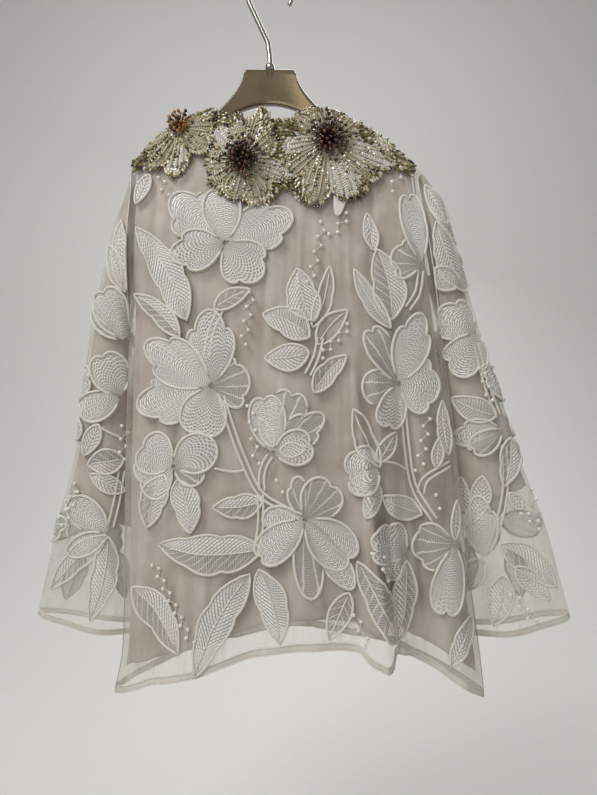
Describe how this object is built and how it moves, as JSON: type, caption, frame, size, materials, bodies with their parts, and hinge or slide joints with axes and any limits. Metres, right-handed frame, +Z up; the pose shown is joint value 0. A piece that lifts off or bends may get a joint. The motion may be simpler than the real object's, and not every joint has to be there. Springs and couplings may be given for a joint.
{
  "type": "embroidered blouse on a hanger",
  "caption": "Sheer hip-length blouse with raised flower embroidery, bell sleeves, a lining and a beaded flower collar, hung on a hooked hanger.",
  "frame": {"origin": "inside top of the hanger's hook, where it hangs on a rail or peg", "axes": "+Z up, the front of the blouse faces -Y, +X to the right as seen from the front"},
  "size_m": [0.6576, 0.1466, 0.8699],
  "materials": {
    "organza": "sheer cream organza with raised cream stitching",
    "lining": "matte blush lining",
    "beadwork": "cream thread petals edged with champagne and olive-gold beads",
    "stamen_beads": "dark amber beads",
    "acrylic": "clear smoky acrylic, polished",
    "steel": "polished warm steel wire"
  },
  "bodies": {
    "root": {"front_panel": "organza", "back_panel": "organza", "sleeve_left": "organza", "sleeve_right": "organza", "lining_front": "lining", "lining_back": "lining", "sleeve_lining_right": "lining", "sleeve_lining_left": "lining", "collar_front": "beadwork", "collar_back": "beadwork", "stamens_left": "stamen_beads", "stamens_centre": "stamen_beads", "stamens_right": "stamen_beads", "hanger_frame": "acrylic", "hanger_ferrule": "steel", "hanger_hook": "steel"}
  },
  "joints": []
}
